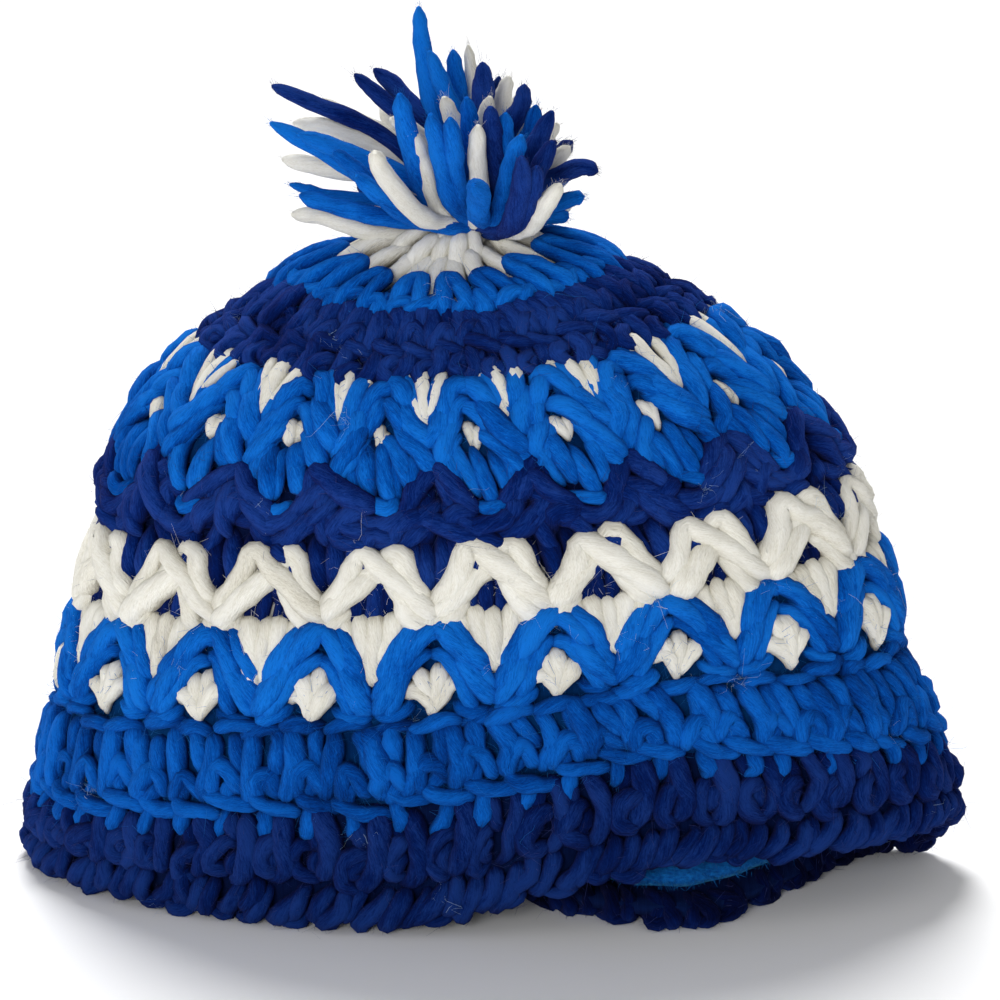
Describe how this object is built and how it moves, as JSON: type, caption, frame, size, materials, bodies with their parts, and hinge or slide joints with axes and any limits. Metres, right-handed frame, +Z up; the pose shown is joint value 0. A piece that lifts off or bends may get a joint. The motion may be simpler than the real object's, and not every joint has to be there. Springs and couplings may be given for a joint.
{
  "type": "beanie",
  "caption": "Thick crocheted beanie with zigzag rounds in navy, bright blue and white, a fleece band inside the rim and a pompom of cut yarn on the crown.",
  "frame": {"origin": "middle of the hat's box, on the surface it stands on", "axes": "+Z up to the pompom, +X to the right and -Y to the front"},
  "size_m": [0.2578, 0.1194, 0.2368],
  "materials": {
    "navy_yarn": "soft fuzzy roving yarn, matte",
    "blue_yarn": "soft fuzzy roving yarn, matte",
    "cream_yarn": "soft fuzzy roving yarn, matte",
    "fleece": "brushed fleece, matte",
    "pompom_yarn": "cut strands of the three yarns"
  },
  "bodies": {
    "root": {"rim_edge": "navy_yarn", "rim_band": "navy_yarn", "lower_band": "blue_yarn", "lower_zigzag": "blue_yarn", "white_zigzag": "cream_yarn", "middle_band": "navy_yarn", "upper_zigzag": "blue_yarn", "crown_navy": "navy_yarn", "crown_blue": "blue_yarn", "crown_white": "cream_yarn", "lining_band": "fleece", "pompom": "pompom_yarn"}
  },
  "joints": []
}
